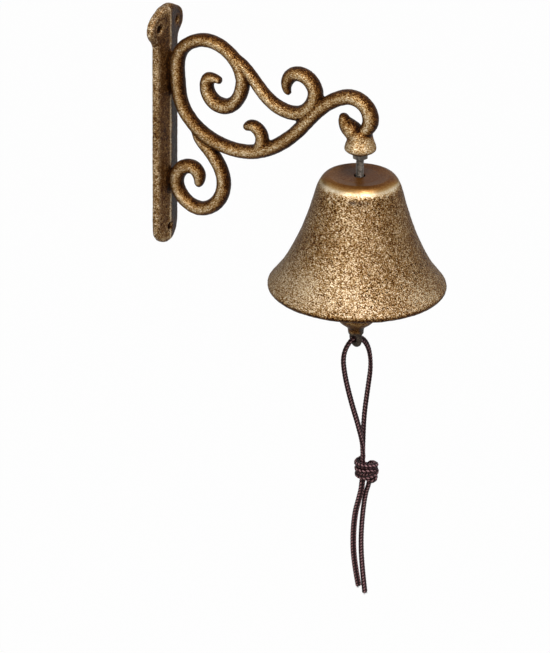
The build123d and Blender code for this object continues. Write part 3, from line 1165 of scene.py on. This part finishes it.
    def fray(self, end: Rows, tangent: Rows, side: Rows, other: Rows, seed: int) -> tuple[Rows, Rows]:
        """The tuft at a cut end: thin filaments that spread like the ribs of a half-open fan.

        Each filament is a tube of four sides along start + length * t + bend * t * t, thinner at its tip.

        Args:
            end: the cord's end point.
            tangent: its direction there.
            side: a direction square to it.
            other: the third direction.
            seed: what changes the tuft.

        Returns:
            The filaments' points and quads.
        """
        draw = np.random.default_rng(seed)
        angle = draw.uniform(0, 2 * np.pi, self.fray_count)[:, None]
        reach = self.diameter * self.fray_reach * np.sqrt(draw.uniform(0, 1, self.fray_count))[:, None]
        length = self.fray_length * draw.uniform(*self.fray_lengths, self.fray_count)[:, None, None]
        bend = draw.uniform(*self.fray_bends, self.fray_count)[:, None, None]
        out = np.cos(angle) * side + np.sin(angle) * other
        start = end + out * reach - tangent * self.fray_inset
        t = np.linspace(0, 1, 6)
        share = t[None, :, None]
        middle = start[:, None, :] + tangent * (length * share) + out[:, None, :] * (bend * share ** 2)
        thin = self.fray_radius * (1.15 - t)
        turn = np.arange(4)[:, None] * np.pi / 2
        rim = np.cos(turn) * side + np.sin(turn) * other
        points = middle[:, :, None, :] + thin[None, :, None, None] * rim
        faces = [tube_faces(len(t), 4, offset=at * 4 * len(t)) for at in range(self.fray_count)]
        return points.reshape(-1, 3), np.vstack(faces)

    def build_half(self, half: CordHalf, material: Material) -> None:
        """Args:
            half: which half.
            material: the cord's material.
        """
        line = self.centre_line(half)
        side, other = self.frames(line)
        skin, relief = self.skin(half, line, side, other)
        last_step = line[-1] - line[-3]
        fray, fray_faces = self.fray(line[-1], last_step / np.linalg.norm(last_step), side[-1], other[-1],
                                     half.fray_seed)
        count = len(skin)
        turn = np.arange(self.sides)
        following = (turn + 1) % self.sides
        near_cap = np.stack([np.full(self.sides, count), following, turn], axis=1)
        far_cap = np.stack([np.full(self.sides, count + 1), count - self.sides + turn,
                            count - self.sides + following], axis=1)
        thing = mesh_object("cord_" + half.strand.value, np.vstack([skin, line[:1], line[-1:], fray]),
                            tube_faces(len(line), self.sides), near_cap, far_cap, fray_faces + count + 2)
        mark(thing, relief=np.concatenate([relief, np.full(2, self.cap_relief),
                                           np.full(len(fray), self.fray_relief)]))
        dress(thing, material, Body.PULL, Slot.CORD, *half.nodes)
        tuple(value * MM for value in self.place((0.0, 0.0, 0.0)))

    def build(self, material: Material) -> None:
        """Build both halves."""
        for half in (LEFT_HALF, RIGHT_HALF):
            self.build_half(half, material)


# Steel


@dataclass(frozen=True)
class SteelParts:
    """The eye bolt with its rolled thread, and the nuts, the washer and the link as the part has them.

    ring_sink is how far the shank reaches past the middle of the ring's wire. plain_length is the shank's
    plain end, and run_out the length over which the thread then grows. flank is the power that narrows the
    thread's groove.
    """

    bolt_top: float = 16.1
    thread_radius: float = 2.2
    thread_depth: float = 0.34
    thread_pitch: float = 0.9
    pitch_rings: int = 9
    flank: float = 1.3
    plain_length: float = 3.0
    run_out: float = 1.5
    ring_sink: float = 0.4
    eye_level: float = -23.25
    eye_radius: float = 5.8
    sides: int = 48
    ring_sides: int = 72
    wire_sides: int = 28
    cad_nodes: tuple = ("lock_nut", "support_nut", "crown_washer", "clapper_link")

    def shank(self) -> Rows:
        """The threaded rod.

        Its radius is the thread's crest less the depth times a power of a raised cosine, taken of the angle
        less the turns that the height makes at the pitch.

        Returns:
            Rings of points.
        """
        bottom = self.eye_level + self.eye_radius - self.ring_sink
        height = np.arange(bottom, self.bolt_top, self.thread_pitch / self.pitch_rings)[:, None]
        angle = np.linspace(0, 2 * np.pi, self.sides, endpoint=False)
        phase = angle - 2 * np.pi * height / self.thread_pitch
        depth = self.thread_depth * rise(height, bottom + self.plain_length, self.run_out)
        radius = self.thread_radius - depth * (0.5 - 0.5 * np.cos(phase)) ** self.flank
        return turned(radius, height, self.sides)

    def ring(self) -> Rows:
        """The ring of round wire under the shank: y = R cos a, z = R sin a, x = w sin b, R = r + w cos b.

        Returns:
            Rings of points around the wire.
        """
        turn = np.linspace(0, 2 * np.pi, self.ring_sides, endpoint=False)[:, None]
        wire = np.linspace(0, 2 * np.pi, self.wire_sides, endpoint=False)
        reach = self.eye_radius + self.thread_radius * np.cos(wire)
        return np.stack(np.broadcast_arrays(self.thread_radius * np.sin(wire), reach * np.cos(turn),
                                            self.eye_level + reach * np.sin(turn)), axis=-1)

    def bolt(self, material: Material) -> None:
        """Build the eye bolt from its shank and its ring."""
        shank = self.shank()
        top = (len(shank) - 1) * self.sides
        lid = np.arange(self.sides)[None, :]
        points = np.vstack([shank.reshape(-1, 3), self.ring().reshape(-1, 3)])
        thing = mesh_object(
            "eye_bolt_threaded", points + np.array([ARM_REACH, 0.0, 0.0]),
            tube_faces(len(shank), self.sides), lid[:, ::-1], lid + top,
            tube_faces(self.ring_sides, self.wire_sides, closed=True, offset=top + self.sides)[:, ::-1])
        dress(thing, material, Body.HANGER, Slot.STEEL, "eye_bolt")

    def build(self, frame: dict, material: Material) -> None:
        """Build the bolt and give the CAD's nuts, washer and link the same finish."""
        self.bolt(material)
        for node in self.cad_nodes:
            coat(frame["nodes"][node], material)
            LOG.info("%s: the CAD node in %s", node, material.name)


# Studio


@dataclass(frozen=True)
class SoftBox:
    """A rectangular lamp that faces the bell.

    azimuth is its direction from the bell in degrees, counted from +X towards +Y, and elevation is its
    height in degrees. level is how bright a white surface turned to it renders, and for that its power is
    the level times pi squared times the square of its distance.
    """

    name: str
    azimuth: float
    elevation: float
    distance: float
    size: tuple
    level: float
    colour: str

    def place(self, aim: Sequence[float]) -> None:
        """Add the lamp to the scene, turned to a point in millimetres."""
        data = bpy.data.lights.new(self.name, "AREA")
        data.shape = "RECTANGLE"
        data.size, data.size_y = (side * MM for side in self.size)
        data.energy = self.level * (math.pi * self.distance * MM) ** 2
        data.color = linear(self.colour)[:3]
        turn = math.radians(self.azimuth)
        slope = math.tan(math.radians(self.elevation))
        away = Vector((math.cos(turn), math.sin(turn), slope)).normalized()
        lamp = add_object(self.name, data)
        lamp.location = (Vector(aim) + away * self.distance) * MM
        lamp.rotation_euler = away.to_track_quat("Z", "Y").to_euler()


@dataclass(frozen=True)
class Studio:
    """The camera as the photograph's, soft lamps and white paper.

    The focal length is in picture points, of which the picture is picture_width wide.
    """

    camera_place: tuple = (916.36, -1613.37, 719.75)
    camera_right: tuple = (0.8836, 0.4680, 0.0127)
    camera_up: tuple = (-0.2042, 0.3608, 0.9100)
    camera_forward: tuple = (-0.4213, 0.8067, -0.4144)
    focal_length: float = 3517.0
    picture_width: float = 550.0
    sensor: float = 36.0
    sight: float = 20000.0
    floor_level: float = -620.0
    floor_half: float = 6000.0
    fill: float = 0.05
    fill_colour: str = "#e6e8ec"
    white: str = "#ffffff"
    aim: tuple = (110.0, 0.0, -20.0)
    lamps: tuple = (
        SoftBox("left_strip", -93.0, 26.0, 1500.0, (300.0, 1300.0), 0.44, "#fff4e2"),
        SoftBox("right_strip", -36.0, 34.0, 1500.0, (300.0, 1300.0), 0.42, "#fffaf8"),
        SoftBox("top", -30.0, 64.0, 1400.0, (700.0, 460.0), 0.62, "#fdf8ff"),
    )

    def camera(self) -> None:
        """Place the camera and make it the scene's."""
        data = bpy.data.cameras.new("camera")
        data.sensor_fit = "HORIZONTAL"
        data.sensor_width = self.sensor
        data.lens = self.focal_length / self.picture_width * self.sensor
        data.clip_end = self.sight * MM
        right, up, forward = (Vector(direction).normalized() for direction in
                              (self.camera_right, self.camera_up, self.camera_forward))
        turn = Matrix((right, up, -forward)).transposed()
        camera = add_object("camera", data)
        camera.matrix_world = Matrix.Translation(Vector(self.camera_place) * MM) @ turn.to_4x4()
        bpy.context.scene.camera = camera

    def paper(self) -> None:
        """Lay the white floor."""
        corners = np.array([(-1, -1), (1, -1), (1, 1), (-1, 1)]) * self.floor_half
        places = np.column_stack([corners, np.full(4, self.floor_level)])
        floor = mesh_object("studio_floor", places, np.array([[0, 1, 2, 3]]), smooth=False)
        coat(floor, StudioWhite().material())

    def world(self) -> None:
        """Light the scene plainly from all round, and show white to the camera and in reflections."""
        bpy.context.scene.world = bpy.data.worlds.new("studio")
        sheet = NodeSheet(bpy.context.scene.world, "ShaderNodeOutputWorld")
        fill = sheet.add("ShaderNodeBackground", inputs={
            "Color": linear(self.fill_colour), "Strength": self.fill})
        white = sheet.add("ShaderNodeBackground", inputs={"Color": linear(self.white), "Strength": 1.0})
        sheet.split_view(sheet.looked_at(), fill, white)

    def build(self) -> None:
        """Set up the camera, the lamps, the floor and the world."""
        self.camera()
        for lamp in self.lamps:
            lamp.place(self.aim)
        self.paper()
        self.world()
        bpy.context.scene.view_settings.view_transform = "Standard"


def main() -> None:
    """Build the studio, the castings, the steel and the cord."""
    logging.basicConfig(level=logging.INFO, format="%(name)s: %(message)s")
    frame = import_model()
    Studio().build()
    PullCord().build(BraidedPolyester().material())
    iron = GoldRubbedIron().material()
    BracketCasting("bracket", Body.HANGER, grainy=0.66).build(frame, iron)
    BellCasting().build(iron)
    clapper_grain = SandGrain(lump=0.08, lump_size=2.6, grit=0.05, grit_size=1.2, seed=23)
    ClapperCasting("clapper", Body.CLAPPER, voxel=0.42, melt=2, grain=clapper_grain,
                   grainy=0.6).build(frame, iron)
    SteelParts().build(frame, OiledSteel().material())


if __name__ == "__main__":
    main()
